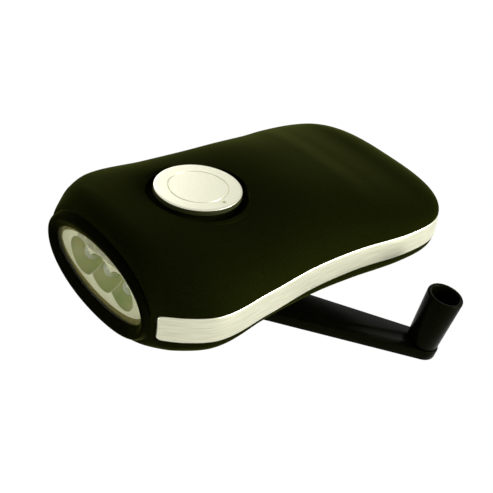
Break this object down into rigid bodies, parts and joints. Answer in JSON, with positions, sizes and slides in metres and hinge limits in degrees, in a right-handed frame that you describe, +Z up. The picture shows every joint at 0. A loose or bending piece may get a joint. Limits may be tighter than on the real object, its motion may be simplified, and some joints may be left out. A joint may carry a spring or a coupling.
{
  "type": "wind-up torch",
  "caption": "Hand-crank dynamo torch: waisted black pebble body with a silver belt, oval LED head, round push button on top and a folding crank handle underneath.",
  "frame": {"origin": "middle of the flat rest under the chin, behind the lens", "axes": "+X to the side the crank is folded out to, +Y from the lens to the tail, +Z up towards the button"},
  "size_m": [0.0792, 0.1024, 0.0505],
  "materials": {
    "shell_black": "soft-touch satin",
    "satin_silver": "satin",
    "gloss_black": "gloss",
    "clear": "clear gloss",
    "reflector_chrome": "mirror",
    "led_clear": "clear gloss",
    "board": "solder mask",
    "steel": "satin",
    "dark_plastic": "satin",
    "cell_sleeve": "shrink sleeve",
    "gear_plastic": "moulded",
    "brass": "turned",
    "magnet": "ground",
    "copper": "enamelled",
    "wire_red": "sleeve",
    "wire_yellow": "sleeve",
    "wire_black": "sleeve"
  },
  "bodies": {
    "body": {"upper_shell": "shell_black", "lower_shell": "shell_black", "trim_left": "satin_silver", "trim_right": "satin_silver", "shell_screws": "steel", "front_bezel": "gloss_black", "lens": "clear", "reflector": "reflector_chrome", "led_left": "led_clear", "led_centre": "led_clear", "led_right": "led_clear", "led_board": "board", "power_switch": "steel", "main_board": "board", "board_screws": "steel", "rectifier": "dark_plastic", "capacitor": "dark_plastic", "battery_cells": "cell_sleeve", "battery_cradle": "gear_plastic", "lower_plate": "steel", "upper_plate": "steel", "plate_pillars": "steel", "plate_screws": "steel", "crank_bush": "brass", "second_pin": "steel", "third_pin": "steel", "stator_base": "steel", "stator_core": "steel", "stator_coil": "copper", "led_wires": "wire_red", "dynamo_wires": "wire_yellow", "battery_wires": "wire_black"},
    "crank": {"crank_hub": "gloss_black", "crank_gear": "gear_plastic", "hub_screw": "steel", "hinge_pin": "steel"},
    "arm": {"crank_arm": "gloss_black", "knob_screw": "steel"},
    "knob": {"crank_knob": "gloss_black"},
    "second": {"second_gear": "gear_plastic"},
    "third": {"third_gear": "gear_plastic"},
    "dynamo_rotor": {"rotor": "magnet"},
    "button": {"push_button": "satin_silver", "button_clip": "steel", "switch_plunger": "dark_plastic"}
  },
  "joints": [
    {"name": "crank_spin", "type": "hinge", "parent": "body", "child": "crank", "pos_m": [0, 0.0275, 0], "axis": [0, 0, 1], "continuous": true},
    {"name": "arm_fold", "type": "hinge", "parent": "crank", "child": "arm", "pos_m": [0.0045, 0.03286, -0.00225], "axis": [-0.766, 0.6428, 0], "range_deg": [-13.8, 166.2]},
    {"name": "knob_spin", "type": "hinge", "parent": "arm", "child": "knob", "pos_m": [0.03927, 0.0743, -0.01554], "axis": [0.1533, 0.1827, 0.9711], "continuous": true},
    {"name": "second_spin", "type": "hinge", "parent": "body", "child": "second", "pos_m": [0.009, 0.04309, 0], "axis": [0, 0, 1], "continuous": true},
    {"name": "third_spin", "type": "hinge", "parent": "body", "child": "third", "pos_m": [-0.00064, 0.05458, 0], "axis": [0, 0, 1], "continuous": true},
    {"name": "rotor_spin", "type": "hinge", "parent": "body", "child": "dynamo_rotor", "pos_m": [0.00153, 0.06689, 0], "axis": [0, 0, 1], "continuous": true},
    {"name": "button_press", "type": "slide", "parent": "body", "child": "button", "axis": [0, 0.0523, 0.9986], "range_m": [-0.0006, 0], "stiffness_N_per_m": 1200, "springref_m": 0.0003}
  ],
  "couplings": [
    {"joint": "second_spin", "follows": "crank_spin", "ratio": -5},
    {"joint": "third_spin", "follows": "crank_spin", "ratio": 20},
    {"joint": "rotor_spin", "follows": "crank_spin", "ratio": -80}
  ]
}
